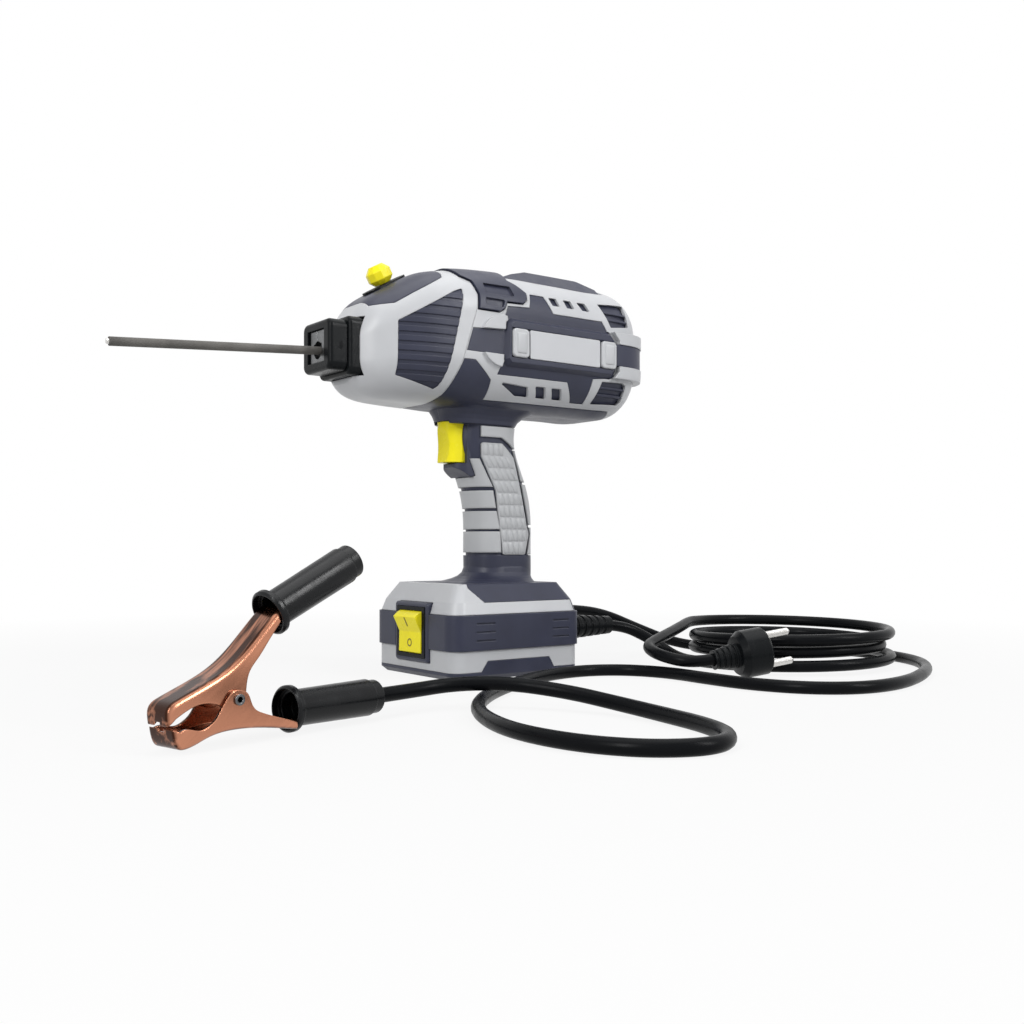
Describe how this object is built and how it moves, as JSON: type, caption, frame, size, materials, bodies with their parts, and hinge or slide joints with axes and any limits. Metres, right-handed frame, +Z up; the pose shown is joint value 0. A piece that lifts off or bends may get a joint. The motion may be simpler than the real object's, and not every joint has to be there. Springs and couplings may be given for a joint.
{
  "type": "handheld welder",
  "caption": "Pistol-shaped handheld arc welder with a clamped electrode at the nose, a trigger grip on a switch base, a coiled mains lead with plug, and an earth lead with a spring clamp.",
  "frame": {"origin": "middle of the base's underside, on the floor", "axes": "+Z up; the barrel and the electrode point along -X; the tool's left side, with the mains lead, is -Y"},
  "size_m": [0.5787, 0.3662, 0.2789],
  "materials": {
    "navy_plastic": "fine matt grain",
    "grey_plastic": "satin moulding",
    "yellow_plastic": "glossy",
    "black_plastic": "satin",
    "black_rubber": "soft sheen",
    "copper_plated_steel": "copper-plated, worn",
    "bright_steel": "bright",
    "flux_coating": "chalky grey flux",
    "board_green": "solder mask",
    "heatsink_aluminium": "extruded",
    "ferrite": "matt ferrite",
    "winding_copper": "enamelled copper"
  },
  "bodies": {
    "welder": {"left_housing": "navy_plastic", "right_housing": "navy_plastic", "nose_cover": "grey_plastic", "left_rear_armour": "grey_plastic", "right_rear_armour": "grey_plastic", "nose_top_panel": "navy_plastic", "nose_side_panels": "navy_plastic", "shoulder_saddle": "navy_plastic", "top_spine": "navy_plastic", "label_pods": "navy_plastic", "label_plates": "grey_plastic", "label_end_caps": "grey_plastic", "rear_belt": "grey_plastic", "finger_pads": "grey_plastic", "left_grip_panel": "grey_plastic", "right_grip_panel": "grey_plastic", "palm_pads": "grey_plastic", "grip_collar": "grey_plastic", "nose_flange": "black_plastic", "holder_block": "black_plastic", "slot_bezel": "black_plastic", "electrode_core": "bright_steel", "electrode_coating": "flux_coating", "trigger_spring": "bright_steel", "trigger_switch": "black_plastic", "base_housing": "navy_plastic", "base_upper_guard": "grey_plastic", "base_lower_guard": "grey_plastic", "base_plate": "navy_plastic", "rubber_feet": "black_rubber", "switch_frame": "navy_plastic", "switch_body": "black_plastic", "main_board": "board_green", "heatsink": "heatsink_aluminium", "transformer_core": "ferrite", "transformer_winding": "winding_copper", "filter_capacitors": "black_plastic", "fan_frame": "black_plastic", "output_bar": "winding_copper", "mains_strain_relief": "black_plastic", "mains_cord": "black_rubber", "mains_coil": "black_rubber", "plug_body": "black_plastic", "plug_pins": "bright_steel", "earth_gland": "black_plastic", "earth_cable": "black_rubber", "clamp_lower_lever": "copper_plated_steel", "clamp_rivet": "bright_steel", "clamp_spring": "bright_steel", "clamp_lower_sleeve": "black_rubber", "case_screws": "bright_steel"},
    "trigger": {"trigger": "yellow_plastic"},
    "rocker": {"rocker": "yellow_plastic"},
    "release": {"release_slider": "black_plastic", "release_knob": "yellow_plastic"},
    "jaw_left": {"left_jaw": "bright_steel"},
    "jaw_right": {"right_jaw": "bright_steel"},
    "fan": {"fan_rotor": "black_plastic"},
    "clamp_upper": {"clamp_upper_lever": "copper_plated_steel", "clamp_upper_sleeve": "black_rubber"}
  },
  "joints": [
    {"name": "trigger_pull", "type": "slide", "parent": "welder", "child": "trigger", "axis": [1, 0, 0], "range_m": [0, 0.006], "stiffness_N_per_m": 600, "springref_m": -0.005},
    {"name": "rocker_tilt", "type": "hinge", "parent": "welder", "child": "rocker", "pos_m": [-0.0485, 0, 0.0295], "axis": [0, 1, 0], "range_deg": [0, 24]},
    {"name": "release_slide", "type": "slide", "parent": "welder", "child": "release", "axis": [0.8695, 0, 0.4939], "range_m": [0, 0.009], "stiffness_N_per_m": 400, "springref_m": -0.006},
    {"name": "jaw_left_slide", "type": "slide", "parent": "welder", "child": "jaw_left", "axis": [0, -1, 0], "range_m": [0, 0.0015]},
    {"name": "jaw_right_slide", "type": "slide", "parent": "welder", "child": "jaw_right", "axis": [0, 1, 0], "range_m": [0, 0.0015]},
    {"name": "fan_spin", "type": "hinge", "parent": "welder", "child": "fan", "pos_m": [0.09, 0, 0.2255], "axis": [1, 0, 0], "continuous": true},
    {"name": "clamp_open", "type": "hinge", "parent": "welder", "child": "clamp_upper", "pos_m": [-0.25233, -0.16535, 0.0202], "axis": [-0.2419, 0.9703, 0], "range_deg": [0, 28], "stiffness_Nm_per_rad": 1.5, "springref_deg": -22.92}
  ],
  "couplings": [
    {"joint": "jaw_left_slide", "follows": "release_slide", "ratio": 0.16667},
    {"joint": "jaw_right_slide", "follows": "release_slide", "ratio": 0.16667}
  ]
}
